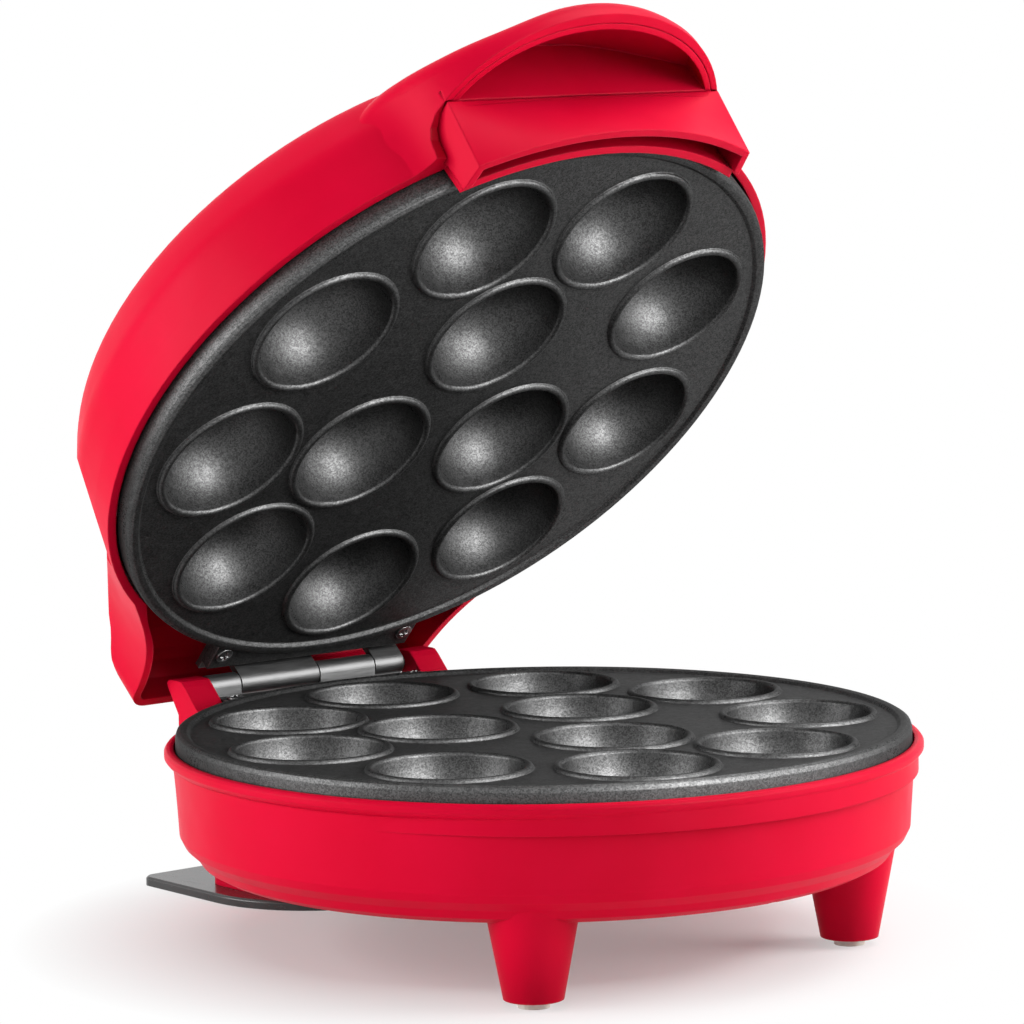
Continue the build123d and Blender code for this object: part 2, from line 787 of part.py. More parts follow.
web_levels += [(47.5, 89.0)]
neck_top = outward([(64, 36.0), (84, 45.4), (93, 44.8), (97, 42.0), (102, 36.4), (108, 30.4)])
neck_top += outward([(113, 26.4), (118.5, 23.0), (121, 20.5), (123.5, 16.0), (125.6, 10.0)])
neck_low = [(neck_rear + 0.5, lid_rim), (neck_top[0][0], lid_rim)]
# half arch of the neck's roof at neck_cross_y; the roof falls steadily toward the rear
neck_cross_y = 95.0 + edge_shift
neck_fall = 0.93
neck_cross = [(0, 60), (40, 58), (50, 52), (54, 45.4), (57, 39.5), (61, 31), (65, 23), (69, 15), (74, 6)]


def lowered(points, drop):
    return [(y, z - drop) for y, z in points]


def raised(solid):
    """Lid-plate heights to heights above the standing surface, lid closed."""
    return solid.moved(Location((0, 0, closed)))


def cross_section(half_points, drop, y, fall):
    """Prism under an arch given as half points (x, z) at y, run along Y, falling by fall per mm."""
    ahead = 56.0
    reach = 90.0
    right = lowered(half_points, drop - fall * ahead)
    left = [(-x, z) for x, z in reversed(right[1:])]
    edge = half_points[-1][0]
    with BuildPart() as body:
        with BuildSketch(Plane.XZ.offset(ahead - y)):
            with BuildLine():
                Spline(*(left + right))
                Polyline((edge, right[-1][1]), (edge, -90), (-edge, -90), (-edge, right[-1][1]))
            make_face()
        extrude(amount=reach * sqrt(1 + fall * fall), dir=(0, 1, -fall))
    return body.part


def roof_solid(drop):
    """Volume under the visor's roof, lofted through its arches and lowered by drop."""
    with BuildPart() as body:
        for y, heights in visor_roof:
            right = [(x, z - drop) for x, z in zip(roof_x, heights)]
            left = [(-x, z) for x, z in reversed(right[1:])]
            edge, end = right[-1]
            with BuildSketch(Plane.XZ.offset(edge_shift - y)):
                with BuildLine():
                    Spline(*(left + right))
                    Polyline((edge, end), (edge, 0), (-edge, 0), (-edge, end))
                make_face()
        loft()
    return body.part


def webbed_visor():
    """Visor plan at several heights, its sides flowing into the dome's wall."""
    start = radians(web_end)
    side = (visor_half * cos(start), -visor_base_y - (visor_nose - visor_base_y) * sin(start))
    heading = (-visor_half * sin(start), -(visor_nose - visor_base_y) * cos(start))
    size = sqrt(heading[0] ** 2 + heading[1] ** 2)
    heading = (heading[0] / size, heading[1] / size)
    returning = (heading[0], -heading[1])
    with BuildPart() as body:
        for level, dome_radius in web_levels:
            radius = dome_radius - 0.4 + edge_shift
            root = (web_x, -sqrt(radius**2 - web_x**2))
            leaving = (root[1] / radius, -root[0] / radius)
            mirrored = (-root[0], root[1])
            with BuildSketch(Plane.XY.offset(level)):
                with BuildLine():
                    Spline(root, side, tangents=(leaving, heading))
                    EllipticalCenterArc(
                        (0, -visor_base_y),
                        visor_half,
                        visor_nose - visor_base_y,
                        start_angle=180 + web_end,
                        arc_size=180 - 2 * web_end,
                    )
                    Spline((-side[0], side[1]), mirrored, tangents=(returning, (leaving[0], -leaving[1])))
                    Polyline(mirrored, (-58, -60), (58, -60), root)
                make_face()
        loft()
    return body.part


def rounded_visor():
    """Visor under its roof, the outer edge of the roof rounded."""
    with BuildPart() as body:
        add(webbed_visor() & roof_solid(0))
        outer = body.edges().filter_by(lambda e: e.center().Y < 2 - bar_back)
        brim = outer.filter_by(lambda e: e.center().Z > 26 and e.length > 20)
        fillet(brim, visor_round)
    return body.part


far_front = -140.0 - edge_shift  # clear in front of the visor


def ahead_of(rear_y):
    """Half space in front of rear_y, as a large block."""
    return side_solid([(far_front, 0), (rear_y, 0), (rear_y, 60), (far_front, 60)], 80)


def recess_solid(inset, rear_y, low, high):
    """Space inside the visor, shrunk evenly by inset and cut off at rear_y."""
    plan = visor_plan(recess_half - inset, recess_nose - inset, recess_base_y, 60, low, high)
    return plan & roof_solid(wall + 0.2 + inset) & ahead_of(rear_y)


def bar_solid(inset, low, high):
    """Lower front bar of the handle: straight crease above, edge on an arc below."""
    side = bar_half - inset
    front = bar_front_r - inset
    drop = sqrt(front * front - side * side)
    with BuildPart() as body:
        with BuildSketch(Plane.XY.offset(low)):
            with BuildLine():
                Line((side + 1.4, -bar_back), (side, -drop))
                RadiusArc((side, -drop), (-side, -drop), front)
                Line((-side, -drop), (-side - 1.4, -bar_back))
                Line((-side - 1.4, -bar_back), (side + 1.4, -bar_back))
            make_face()
        with BuildSketch(Plane.XY.offset(high)):
            with BuildLine():
                Line((side + 1.0, -bar_back), (side, crease_y + inset))
                RadiusArc((side, crease_y + inset), (-side, crease_y + inset), 1500)
                Line((-side, crease_y + inset), (-side - 1.0, -bar_back))
                Line((-side - 1.0, -bar_back), (side + 1.0, -bar_back))
            make_face()
        loft()
    return body.part


with BuildPart() as shell_closed:
    add(dome(dome_curve, shell_r, lid_rim, 14) - corner_facets(0))
    lip_edge = [(140, 24.3), (103, 16.3), (99.5, 14.4), (97.6, 11.6), (96.4, lid_rim)]
    lip_edge = [(-reach, z) for reach, z in outward(lip_edge)]
    visor_lip = side_solid(lip_edge + [(-60, lid_rim), (-60, 60), (far_front, 60)], 80)
    add(rounded_visor() & visor_lip & ahead_of(19 - bar_back))
    neck_roof = cross_section(neck_cross, 0, neck_cross_y, neck_fall)
    add(neck_plan(0, lid_rim, 47) & side_solid(neck_top + neck_low, 90) & neck_roof)
    # front skirt behind the handle bar
    add(ring(shell_r, 60, -3.0, 20) & visor_plan(bar_half, bar_front_r + 11, bar_back, 60, -3.0, 20))
    # hollow
    add(dome(dome_inner, shell_inner_r, -5, 14) - corner_facets(wall), mode=Mode.SUBTRACT)
    neck_floor = [(neck_top[-1][0] - wall, 4), (neck_top[0][0] - 1, 4)]
    neck_space = side_solid([(y - 0.9, z - wall - 0.3) for y, z in neck_top[:-1]] + neck_floor, 90)
    neck_space = neck_space & cross_section(neck_cross, wall + 2.0, neck_cross_y, neck_fall)
    add(neck_plan(wall, 3, 47) & neck_space, mode=Mode.SUBTRACT)
    pocket = recess_solid(0, -bar_back, 5, 50) + bar_solid(-fit, -6, bar_top + 4)
    add(pocket - ring(shell_r, 0, -10, 60), mode=Mode.SUBTRACT)
    # rests and hooks for the front edge of the heat shield
    for x in (-20, 20):
        with BuildSketch(Plane.XY.offset(post_drop + shield_thick + 0.1)):
            with Locations((x, -shield_r)):
                Rectangle(10, 9)
        extrude(amount=11)
        with BuildSketch(Plane.XY.offset(post_drop - 3.1)):
            with Locations((x, -shield_r - 1.5)):
                Rectangle(10, 8)
        extrude(amount=3)
    # bosses for the rear screws, with the tabs of the shield under them
    boss_blank = ring(4.2, 0, post_drop + shield_thick, 40)
    boss_pair = [boss_blank.moved(Location((x, y, 0))) for x, y in shell_screw_places]
    for blank in boss_pair:
        add(blank & side_solid(neck_top + neck_low, 90) & neck_roof)
    with BuildSketch(Plane.XY.offset(post_drop + shield_thick)):
        with Locations(*shell_screw_places):
            Circle(screw_r)
    extrude(amount=4.0, mode=Mode.SUBTRACT)
    # bosses for the handle screws
    for x in (-handle_screw_x, handle_screw_x):
        with BuildSketch(Plane.XZ.offset(-handle_screw_y)):
            with Locations((x, handle_screw_w)):
                Circle(4.2)
        extrude(amount=3.0)
        with BuildSketch(Plane.XZ.offset(-handle_screw_y - 1)):
            with Locations((x, handle_screw_w)):
                Circle(screw_r + 0.2)
        extrude(amount=12, mode=Mode.SUBTRACT)
    with BuildSketch(Plane.XY.offset(dome_h)):
        with Locations((-lens_x, lens_y), (lens_x, lens_y)):
            Circle(lens_r + 0.05)
    extrude(amount=-6, mode=Mode.SUBTRACT)


with BuildPart() as handle_closed:
    edge = [(far_front, 24.4), (-bar_back - 7, 15.0), (-bar_back, 13.0)]
    above_edge = side_solid(edge + [(-bar_back, 60), (far_front, 60)], 80)
    add(recess_solid(fit, -bar_back, bar_top - 1, 50) & above_edge)
    add(bar_solid(0, bar_bottom, bar_top))
    add(recess_solid(fit + liner, crease_y, bar_top - 2, 50), mode=Mode.SUBTRACT)
    inside = 10 - bar_back
    behind = side_solid([(crease_y + liner, 10), (inside, 10), (inside, 60), (crease_y + liner, 60)], 80)
    add(recess_solid(fit + liner, -bar_back, bar_top, 50) & behind, mode=Mode.SUBTRACT)
    add(bar_solid(2.2, bar_bottom - 0.6, bar_top - liner), mode=Mode.SUBTRACT)
    for x in (-handle_screw_x, handle_screw_x):
        with BuildSketch(Plane.XZ.offset(bar_back + 8)):
            with Locations((x, handle_screw_w)):
                Circle(3.2)
        extrude(amount=9.0)
    add(ring(shell_r + fit, 0, -10, 60), mode=Mode.SUBTRACT)
    for x in (-handle_screw_x, handle_screw_x):
        with BuildSketch(Plane.XZ.offset(bar_back + 8)):
            with Locations((x, handle_screw_w)):
                Circle(screw_r)
        extrude(amount=8.6, mode=Mode.SUBTRACT)

with BuildPart() as lid_shell:
    add(opened(raised(shell_closed.part)))
lid_shell.part.label = "lid_shell"

with BuildPart() as lid_handle:
    add(opened(raised(handle_closed.part)))
lid_handle.part.label = "lid_handle"

with BuildPart() as handle_screws:
    for x in (-handle_screw_x, handle_screw_x):
        one = screw(8.6).rotate(Axis.X, -90).moved(Location((x, handle_screw_y, handle_screw_w)))
        add(opened(raised(one)))
handle_screws.part.label = "handle_screws"

with BuildPart() as lid_plate:
    add(opened(flipped(plate_body())))
lid_plate.part.label = "lid_plate"

with BuildPart() as lid_heater:
    add(opened(flipped(heater_ring())))
lid_heater.part.label = "lid_heater"

with BuildPart() as lid_heater_clamps:
    add(opened(flipped(heater_clamps())))
lid_heater_clamps.part.label = "lid_heater_clamps"

with BuildPart() as lid_clamp_screws:
    add(opened(flipped(clamp_screws)))
lid_clamp_screws.part.label = "lid_clamp_screws"

# the lid's shield carries two tabs that the shell is screwed to
with BuildPart() as tabbed_shield:
    add(heat_shield())
    with BuildSketch(Plane.XY.offset(-post_drop)):
        for x, y in shell_screw_places:
            with Locations((x - 4 * x / abs(x), y - 10)):
                Rectangle(13, 22, rotation=-22 * x / abs(x))
            with Locations((x, y)):
                Circle(5.5)
        Circle(shield_r - 3, mode=Mode.SUBTRACT)
    extrude(amount=-shield_thick)
    with BuildSketch(Plane.XY.offset(-post_drop)):
        with Locations(*shell_screw_places):
            Circle(screw_r + 0.2)
    extrude(amount=-shield_thick, mode=Mode.SUBTRACT)

with BuildPart() as lid_heat_shield:
    add(opened(flipped(tabbed_shield.part)))
lid_heat_shield.part.label = "lid_heat_shield"

with BuildPart() as lid_thermostat:
    add(opened(flipped(thermostat())))
lid_thermostat.part.label = "lid_thermostat"

with BuildPart() as lid_plate_screws:
    add(opened(flipped(screws_at(post_places, 8.0, -post_drop - shield_thick))))
lid_plate_screws.part.label = "lid_plate_screws"

with BuildPart() as lid_shell_screws:
    for x, y in shell_screw_places:
        one = screw(4.5).rotate(Axis.X, 180).moved(Location((x, y, post_drop)))
        add(opened(raised(one)))
lid_shell_screws.part.label = "lid_shell_screws"

with BuildPart() as hinge_upper_leaf:
    add(opened(flipped(leaf(upper_knuckles, plate_gap - hinge_rise))))
hinge_upper_leaf.part.label = "hinge_upper_leaf"

with BuildPart() as hinge_upper_screws:
    for x, y in hinge_places:
        add(opened(flipped(hinge_screw.moved(Location((x, y, -lug_drop))))))
hinge_upper_screws.part.label = "hinge_upper_screws"


def lens(x):
    """Domed light cap in the crown of the lid, flange inside."""
    with BuildPart() as body:
        with BuildSketch(Plane.XZ.offset(-lens_y)):
            with BuildLine():
                Polyline(
                    (x, dome_h + 0.8),
                    (x + lens_r - 1.0, dome_h + 0.5),
                    (x + lens_r, dome_h - 0.1),
                    (x + lens_r, dome_h - wall),
                    (x + lens_r + 1.0, dome_h - wall),
                    (x + lens_r + 1.0, dome_h - wall - 0.8),
                    (x + lens_r - 0.8, dome_h - wall - 0.8),
                    (x + lens_r - 0.8, dome_h - 1.0),
                    (x, dome_h - 1.0),
                    close=True,
                )
            make_face()
        revolve(axis=Axis((x, lens_y, 0), (0, 0, 1)))
    return body.part


with BuildPart() as power_lens:
    add(opened(raised(lens(-lens_x))))
power_lens.part.label = "power_lens"

with BuildPart() as ready_lens:
    add(opened(raised(lens(lens_x))))
ready_lens.part.label = "ready_lens"

# carrier of the two lamps, pressed against the lens flanges from inside
lamp_top = dome_h - wall - 0.8
with BuildPart() as lamp_carrier_closed:
    with BuildSketch(Plane.XY.offset(lamp_top)):
        with Locations((0, lens_y)):
            RectangleRounded(4 * lens_x, 12, 2)
        with Locations((-lens_x, lens_y), (lens_x, lens_y)):
            Circle(2.1, mode=Mode.SUBTRACT)
    extrude(amount=-2.0)
    with BuildSketch(Plane.XY.offset(lamp_top - 2)):
        with Locations((-lens_x, lens_y), (lens_x, lens_y)):
            Circle(3.0)
            Circle(2.1, mode=Mode.SUBTRACT)
    extrude(amount=-5.0)

with BuildPart() as lamp_carrier:
    add(opened(raised(lamp_carrier_closed.part)))
lamp_carrier.part.label = "lamp_carrier"

with BuildPart() as lamps_closed:
    with Locations((-lens_x, lens_y, lamp_top - 3.5), (lens_x, lens_y, lamp_top - 3.5)):
        Cylinder(2.05, 6.0)
    with Locations((-lens_x, lens_y, lamp_top - 0.5), (lens_x, lens_y, lamp_top - 0.5)):
        Sphere(2.05)

with BuildPart() as lamps:
    add(opened(raised(lamps_closed.part)))
lamps.part.label = "lamps"

pieces = [
    base_housing,
    foot_pads,
    stand_plate,
    stand_screws,
    base_plate,
    base_heater,
    base_heater_clamps,
    base_clamp_screws,
    base_heat_shield,
    base_thermostat,
    base_plate_screws,
    power_inlet,
    terminal_block,
    hinge_lower_leaf,
    hinge_lower_screws,
    hinge_pin,
    lid_shell,
    lid_handle,
    handle_screws,
    lid_plate,
    lid_heater,
    lid_heater_clamps,
    lid_clamp_screws,
    lid_heat_shield,
    lid_thermostat,
    lid_plate_screws,
    lid_shell_screws,
    hinge_upper_leaf,
    hinge_upper_screws,
    power_lens,
    ready_lens,
    lamp_carrier,
    lamps,
]
footprint_middle = (stand_rear - rim_r) / 2
for piece in pieces:
    placed = piece.part.moved(Location((0, -footprint_middle, 0)))
    placed.label = piece.part.label
    export_step(placed, f"parts/{placed.label}.step")
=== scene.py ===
"""Looks, floor, light and camera for a cake pop maker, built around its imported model."""

import json
import math

import bpy
from mathutils import Matrix, Vector

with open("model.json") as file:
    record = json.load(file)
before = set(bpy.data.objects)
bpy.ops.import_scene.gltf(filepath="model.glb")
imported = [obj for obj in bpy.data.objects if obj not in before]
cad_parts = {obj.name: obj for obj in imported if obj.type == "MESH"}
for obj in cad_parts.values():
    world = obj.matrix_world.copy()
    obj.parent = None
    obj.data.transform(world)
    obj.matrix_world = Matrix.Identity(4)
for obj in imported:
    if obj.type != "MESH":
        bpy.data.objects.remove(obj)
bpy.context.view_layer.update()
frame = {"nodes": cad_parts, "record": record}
nodes = frame["nodes"]

# ---------------------------------------------------------------- camera
# The camera's direction is given by its azimuth round the object, elevation and roll.
AZIMUTH = math.radians(-39.55)
ELEVATION = math.radians(6.777)
ROLL = math.radians(-0.85)
DISTANCE = 1.3046
AIM = Vector((0.0, -0.019, 0.1022))
SHIFT_RIGHT = -0.00823
SHIFT_UP = 0.01910
LENS = 163.82
SENSOR = 36.0

back = Vector(
    (
        math.sin(AZIMUTH) * math.cos(ELEVATION),
        -math.cos(AZIMUTH) * math.cos(ELEVATION),
        math.sin(ELEVATION),
    )
)
level_right = (-back).cross(Vector((0, 0, 1))).normalized()
level_up = level_right.cross(-back)
right = level_right * math.cos(ROLL) + level_up * math.sin(ROLL)
up = level_up * math.cos(ROLL) - level_right * math.sin(ROLL)


def make_camera():
    """Camera at the photograph's angle."""
    data = bpy.data.cameras.new("camera")
    data.sensor_width = SENSOR
    data.lens = LENS
    data.clip_start = 0.01
    data.clip_end = 100.0
    camera = bpy.data.objects.new("camera", data)
    bpy.context.scene.collection.objects.link(camera)
    place = AIM + back * DISTANCE + right * SHIFT_RIGHT + up * SHIFT_UP
    turn = Matrix((right, up, back)).transposed().to_4x4()
    camera.matrix_world = Matrix.Translation(place) @ turn
    bpy.context.scene.camera = camera


# ---------------------------------------------------------------- light
CENTRE = Vector((0.0, 0.0, 0.12))


def from_camera(to_right, to_up, to_back):
    """Point at that place from the object's middle, along the camera's level axes."""
    ahead = Vector((back.x, back.y, 0)).normalized()
    return CENTRE + level_right * to_right + Vector((0, 0, to_up)) + ahead * to_back


def softbox(name, place, width, height, watts, colour=(1.0, 1.0, 1.0), aim=CENTRE):
    """Rectangular soft light that faces aim."""
    data = bpy.data.lights.new(name, "AREA")
    data.shape = "RECTANGLE"
    data.size = width
    data.size_y = height
    data.energy = watts
    data.color = colour
    light = bpy.data.objects.new(name, data)
    bpy.context.scene.collection.objects.link(light)
    light.location = place
    light.rotation_euler = (place - aim).to_track_quat("Z", "Y").to_euler()
    light.visible_camera = False
    return light


def make_lights():
    """Two side softboxes, one overhead, a weaker one by the camera and one for the gloss in the cups."""
    softbox("left_softbox", from_camera(-1.28, 0.30, 0.34), 0.9, 0.95, 19.0)
    softbox("right_softbox", from_camera(1.28, 0.38, 0.05), 0.8, 0.95, 20.0)
    softbox("top_softbox", from_camera(0.60, 1.15, -0.25), 0.8, 0.8, 12.0)
    softbox("front_softbox", from_camera(-0.30, 0.75, 1.30), 0.8, 0.6, 2.0)
    gloss = softbox("gloss_softbox", from_camera(0.85, 0.42, 0.78), 0.6, 0.6, 28.0)
    gloss.visible_diffuse = False


AMBIENT = 0.25


def make_world():
    """Even studio light; the camera and reflections see plain white."""
    world = bpy.data.worlds.new("studio")
    bpy.context.scene.world = world
    world.use_nodes = True
    tree = world.node_tree
    tree.nodes.clear()
    ambient = tree.nodes.new("ShaderNodeBackground")
    ambient.inputs["Color"].default_value = (1, 1, 1, 1)
    ambient.inputs["Strength"].default_value = AMBIENT
    white = tree.nodes.new("ShaderNodeBackground")
    white.inputs["Color"].default_value = (1, 1, 1, 1)
    white.inputs["Strength"].default_value = 1.0
    mix = tree.nodes.new("ShaderNodeMixShader")
    out = tree.nodes.new("ShaderNodeOutputWorld")
    seen = seen_directly(tree)
    tree.links.new(seen, mix.inputs[0])
    tree.links.new(ambient.outputs[0], mix.inputs[1])
    tree.links.new(white.outputs[0], mix.inputs[2])
    tree.links.new(mix.outputs[0], out.inputs["Surface"])


def seen_directly(tree):
    """1 for camera, glossy and transmission rays, otherwise 0."""
    path = tree.nodes.new("ShaderNodeLightPath")
    first = tree.nodes.new("ShaderNodeMath")
    first.operation = "MAXIMUM"
    second = tree.nodes.new("ShaderNodeMath")
    second.operation = "MAXIMUM"
    tree.links.new(path.outputs["Is Camera Ray"], first.inputs[0])
    tree.links.new(path.outputs["Is Glossy Ray"], first.inputs[1])
    tree.links.new(first.outputs[0], second.inputs[0])
    tree.links.new(path.outputs["Is Transmission Ray"], second.inputs[1])
    return second.outputs[0]


# ---------------------------------------------------------------- materials
class Look:
    """A material's node tree, with short calls for the nodes the looks share."""

    def __init__(self, name):
        self.material = bpy.data.materials.new(name)
        self.material.use_nodes = True
        self.tree = self.material.node_tree
        self.shader = self.tree.nodes["Principled BSDF"]
        place = self.tree.nodes.new("ShaderNodeTexCoord")
        self.place = place.outputs["Object"]

    def link(self, source, target):
        self.tree.links.new(source, target)

    def feed(self, socket, value):
        """Links value if it is a socket, otherwise sets it."""
        if isinstance(value, bpy.types.NodeSocket):
            self.link(value, socket)
        else:
            socket.default_value = value

    def stretched(self, scale):
        """Object coordinates times scale along each axis."""
        mapping = self.tree.nodes.new("ShaderNodeMapping")
        mapping.inputs["Scale"].default_value = scale
        self.link(self.place, mapping.inputs["Vector"])
        return mapping.outputs[0]

    def noise(self, size, detail=2.0, rough=0.5, place=None):
        """Noise whose lumps are about size metres across, from 0 to 1."""
        node = self.tree.nodes.new("ShaderNodeTexNoise")
        node.inputs["Scale"].default_value = 1.0 / size
        node.inputs["Detail"].default_value = detail
        node.inputs["Roughness"].default_value = rough
        self.link(place or self.place, node.inputs["Vector"])
        return node.outputs["Fac"]

    def cells(self, size):
        """Random value per cell about size metres across."""
        node = self.tree.nodes.new("ShaderNodeTexVoronoi")
        node.inputs["Scale"].default_value = 1.0 / size
        self.link(self.place, node.inputs["Vector"])
        split = self.tree.nodes.new("ShaderNodeSeparateColor")
        self.link(node.outputs["Color"], split.inputs[0])
        return split.outputs[0]

    def ranged(self, value, low, high, to_low=0.0, to_high=1.0):
        """value from low..high to to_low..to_high, clamped."""
        node = self.tree.nodes.new("ShaderNodeMapRange")
        self.link(value, node.inputs["Value"])
        node.inputs["From Min"].default_value = low
        node.inputs["From Max"].default_value = high
        node.inputs["To Min"].default_value = to_low
        node.inputs["To Max"].default_value = to_high
        return node.outputs[0]

    def math(self, operation, a, b):
        node = self.tree.nodes.new("ShaderNodeMath")
        node.operation = operation
        self.feed(node.inputs[0], a)
        self.feed(node.inputs[1], b)
        return node.outputs[0]

    def mixed(self, amount, a, b):
        """Colour between a and b."""
        node = self.tree.nodes.new("ShaderNodeMix")
        node.data_type = "RGBA"
        self.feed(node.inputs["Factor"], amount)
        for name, colour in (("A", a), ("B", b)):
            socket = [s for s in node.inputs if s.name == name and s.type == "RGBA"][0]
            self.feed(socket, colour)
        return [s for s in node.outputs if s.type == "RGBA"][0]

    def softened(self, radius):
        """Normal with edges rounded by radius, and how near an edge is, from 0 to 1."""
        bevel = self.tree.nodes.new("ShaderNodeBevel")
        bevel.samples = 6
        bevel.inputs["Radius"].default_value = radius
        geometry = self.tree.nodes.new("ShaderNodeNewGeometry")
        dot = self.tree.nodes.new("ShaderNodeVectorMath")
        dot.operation = "DOT_PRODUCT"
        self.link(bevel.outputs[0], dot.inputs[0])
        self.link(geometry.outputs["Normal"], dot.inputs[1])
        near = self.ranged(dot.outputs["Value"], 0.995, 0.80)
        return bevel.outputs[0], near

    def hollow_shade_mask(self, reach, deepest):
        """How far a point lies in a hollow, from 0 to 1, judged by what is within reach metres; used as the
        mask for painted shade.
        """
        node = self.tree.nodes.new("ShaderNodeAmbientOcclusion")
        node.samples = 8
        node.inputs["Distance"].default_value = reach
        return self.ranged(node.outputs["AO"], 0.8, deepest)

    def bump(self, height, depth, normal=None):
        """Bump of depth metres from height, on top of normal."""
        node = self.tree.nodes.new("ShaderNodeBump")
        node.inputs["Strength"].default_value = 1.0
        node.inputs["Distance"].default_value = depth
        self.link(height, node.inputs["Height"])
        if normal is not None:
            self.link(normal, node.inputs["Normal"])
        return node.outputs[0]

    def set(self, **values):
        for name, value in values.items():
            self.feed(self.shader.inputs[name.replace("_", " ")], value)


def grey(value):
    return (value, value, value, 1.0)


def red_plastic():
    """Satin moulded plastic: faint mottling, a fine skin, edges lightened partly by rubbing and partly by a
    painted highlight, and painted shade in the hollows.
    """
    look = Look("red_plastic")
    normal, edge = look.softened(0.0007)
    mottle = look.noise(0.035, 3.0)
    skin = look.noise(0.0009, 2.0)
    base = look.mixed(look.ranged(mottle, 0.3, 0.7), (0.59, 0.0010, 0.024, 1), (0.64, 0.0018, 0.031, 1))
    # Painted shade: the colour darkens towards deep red in hollows and crevices, standing in for the shade
    # that falls there.
    deep = look.math("MULTIPLY", look.hollow_shade_mask(0.03, 0.45), 0.45)
    base = look.mixed(deep, base, (0.16, 0.0002, 0.005, 1))
    # Lighter, pinker edges: partly rubbing, partly a painted edge highlight.
    edge_highlight_and_rub = look.math("MULTIPLY", edge, look.ranged(look.noise(0.006), 0.35, 0.75, 0.1, 0.5))
    look.set(Base_Color=look.mixed(edge_highlight_and_rub, base, (0.78, 0.022, 0.055, 1)))
    gloss = look.ranged(look.noise(0.012, 4.0), 0.3, 0.7, 0.37, 0.45)
    look.set(Roughness=look.math("ADD", gloss, look.math("MULTIPLY", edge, 0.06)))
    look.set(Normal=look.bump(skin, 0.00001, normal))
    look.shader.inputs["Specular IOR Level"].default_value = 0.04
    return look.material


def non_stick():
    """Dark cast coating with a fine metallic fleck, an orange-peel skin and edges lightened partly by wear
    and partly by a painted highlight.
    """
    look = Look("non_stick")
    normal, edge = look.softened(0.0006)
    sand = look.math("ADD", look.cells(0.00036), look.ranged(look.noise(0.0008, 2.0), 0.3, 0.7, -0.15, 0.15))
    cloud = look.noise(0.02, 3.0)
    dark = look.mixed(look.ranged(cloud, 0.3, 0.7), grey(0.036), grey(0.043))
    base = look.mixed(look.ranged(sand, 0.0, 1.0), dark, grey(0.098))
    # Lighter edges and collar ridges: partly wear, partly a painted edge highlight.
    edge_highlight_and_wear = look.math("MULTIPLY", edge, look.ranged(look.noise(0.004), 0.3, 0.7, 0.10, 0.35))
    look.set(Base_Color=look.mixed(edge_highlight_and_wear, base, grey(0.22)))
    look.set(Metallic=0.9)
    look.set(Roughness=look.ranged(look.noise(0.003, 4.0), 0.3, 0.7, 0.42, 0.50))
    look.set(Normal=look.bump(look.noise(0.0006, 3.0), 0.000035, normal))
    look.shader.inputs["Specular Tint"].default_value = grey(0.30)
    return look.material


def stand_coating():
    """Dark satin coat on sheet metal, with small scuffs."""
    look = Look("stand_coating")
    normal, edge = look.softened(0.0005)
    scuff = look.ranged(look.noise(0.002, 6.0, 0.7, look.stretched((1, 0.15, 1))), 0.58, 0.75)
    base = look.mixed(look.ranged(look.noise(0.01), 0.3, 0.7), grey(0.032), grey(0.045))
    # Lighter edges: partly wear, partly a painted edge highlight.
    look.set(Base_Color=look.mixed(look.math("MULTIPLY", edge, 0.5), base, grey(0.2)))
    look.set(Metallic=0.3, Roughness=look.math("ADD", look.math("MULTIPLY", scuff, 0.15), 0.24))
    look.set(Normal=look.bump(look.noise(0.0008), 0.000012, normal))
    return look.material


def metal(name, shade, streak, rough, edge_shade):
    """Plated or rolled metal with fine streaks along streak's long axis."""
    look = Look(name)
    normal, edge = look.softened(0.00035)
    lines = look.noise(0.0005, 4.0, 0.65, look.stretched(streak))
    stain = look.noise(0.006, 4.0)
    base = look.mixed(look.ranged(lines, 0.3, 0.7), grey(shade * 0.82), grey(shade * 1.12))
    base = look.mixed(look.ranged(stain, 0.5, 0.8, 0.0, 0.35), base, grey(shade * 0.55))
    # Lighter edges towards edge_shade: partly wear, partly a painted edge highlight.
    look.set(Base_Color=look.mixed(look.math("MULTIPLY", edge, 0.6), base, grey(edge_shade)))
    look.set(Metallic=1.0, Roughness=look.ranged(lines, 0.3, 0.7, rough - 0.05, rough + 0.08))
    look.set(Normal=look.bump(lines, 0.000008, normal))
    return look.material


def matte(name, shade, rough, grain, tint=(1.0, 1.0, 1.0)):
    """Rubber or plain matte plastic with a pitted skin."""
    look = Look(name)
    normal, edge = look.softened(0.0004)
    low = tuple(shade * 0.85 * c for c in tint) + (1.0,)
    high = tuple(min(1.0, shade * 1.12) * c for c in tint) + (1.0,)
    look.set(Base_Color=look.mixed(look.ranged(look.noise(0.002, 4.0), 0.3, 0.7), low, high))
    look.set(Roughness=look.ranged(look.noise(0.001), 0.3, 0.7, rough - 0.06, rough + 0.06))
    look.set(Normal=look.bump(look.noise(grain, 3.0), 0.00003, normal))
    return look.material


def lens(name, deep, pale):
    """Clear tinted moulding that lets a little light through."""
    look = Look(name)
    normal, edge = look.softened(0.0004)
    look.set(Base_Color=look.mixed(look.ranged(look.noise(0.003), 0.3, 0.7), deep, pale))
    look.set(Roughness=look.ranged(look.noise(0.0015), 0.3, 0.7, 0.08, 0.16))
    look.set(Normal=look.bump(look.noise(0.001), 0.000006, normal))
    look.shader.inputs["Transmission Weight"].default_value = 0.55
    return look.material


def lamp_glass():
    look = Look("lamp_glass")
    look.set(Base_Color=look.mixed(look.noise(0.002), (0.95, 0.82, 0.66, 1), (0.95, 0.9, 0.8, 1)))
    look.set(Roughness=look.ranged(look.noise(0.001), 0.3, 0.7, 0.05, 0.12))
    look.shader.inputs["Transmission Weight"].default_value = 0.9
    return look.material


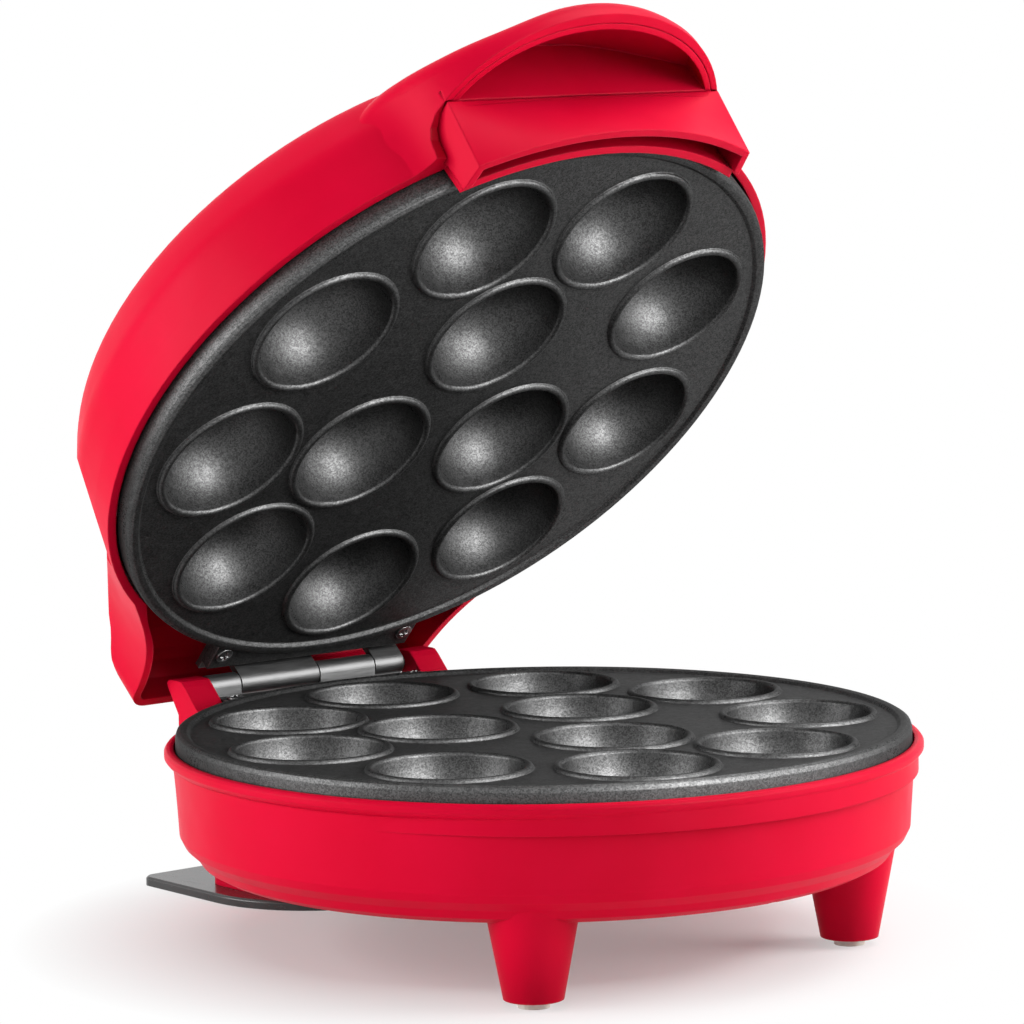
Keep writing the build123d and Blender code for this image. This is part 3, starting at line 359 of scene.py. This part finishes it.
LOOKS = {
    "red_plastic": red_plastic(),
    "non_stick": non_stick(),
    "stand_coating": stand_coating(),
    "foot_rubber": matte("foot_rubber", 0.72, 0.75, 0.0008, (1.0, 0.96, 0.86)),
    "heater_sheath": metal("heater_sheath", 0.24, (0.2, 0.2, 1.0), 0.5, 0.35),
    "shield_steel": metal("shield_steel", 0.60, (1.0, 0.08, 1.0), 0.35, 0.8),
    "hinge_steel": metal("hinge_steel", 0.11, (0.06, 1.0, 1.0), 0.44, 0.22),
    "screw_steel": metal("screw_steel", 0.14, (1.0, 1.0, 0.3), 0.36, 0.40),
    "dark_insulator": matte("dark_insulator", 0.04, 0.6, 0.0006),
    "grommet_rubber": matte("grommet_rubber", 0.03, 0.7, 0.0008),
    "red_lens": lens("red_lens", (0.62, 0.02, 0.02, 1), (0.85, 0.06, 0.04, 1)),
    "green_lens": lens("green_lens", (0.02, 0.42, 0.08, 1), (0.08, 0.62, 0.16, 1)),
    "lamp_glass": lamp_glass(),
}


def dress_nodes():
    """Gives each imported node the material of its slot."""
    for part in frame["record"]["subparts"]:
        mesh = nodes[part["node"]].data
        mesh.materials.clear()
        mesh.materials.append(LOOKS[part["material_slot"]])


# ---------------------------------------------------------------- floor
FLOOR_HALF = 6.0
SHADOW_RADIUS = 0.075
WHITE_RADIUS = 0.14
SHADOW_LIFT = 0.22


def make_floor():
    """Pale floor that keeps the object's shadow and fades to plain white further out."""
    mesh = bpy.data.meshes.new("floor")
    corners = [(x * FLOOR_HALF, y * FLOOR_HALF, 0.0) for x, y in ((-1, -1), (1, -1), (1, 1), (-1, 1))]
    mesh.from_pydata(corners, [], [(0, 1, 2, 3)])
    floor = bpy.data.objects.new("floor", mesh)
    bpy.context.scene.collection.objects.link(floor)
    look = Look("floor")
    # The faint pink tint is painted bounce light from the red plastic.
    look.set(Base_Color=look.mixed(look.noise(0.2), (0.80, 0.775, 0.775, 1), (0.82, 0.795, 0.795, 1)))
    look.set(Roughness=0.9)
    look.shader.inputs["Specular IOR Level"].default_value = 0.0
    tree = look.tree
    length = tree.nodes.new("ShaderNodeVectorMath")
    length.operation = "LENGTH"
    look.link(look.place, length.inputs[0])
    far = look.ranged(length.outputs["Value"], SHADOW_RADIUS, WHITE_RADIUS, SHADOW_LIFT, 1.0)
    shown = look.math("MULTIPLY", far, seen_directly(tree))
    white = tree.nodes.new("ShaderNodeEmission")
    white.inputs["Color"].default_value = (1, 1, 1, 1)
    white.inputs["Strength"].default_value = 1.0
    mix = tree.nodes.new("ShaderNodeMixShader")
    look.link(shown, mix.inputs[0])
    look.link(look.shader.outputs[0], mix.inputs[1])
    look.link(white.outputs[0], mix.inputs[2])
    look.link(mix.outputs[0], tree.nodes["Material Output"].inputs["Surface"])
    mesh.materials.append(look.material)


dress_nodes()
make_floor()
make_lights()
make_world()
make_camera()
bpy.context.scene.view_settings.view_transform = "Standard"
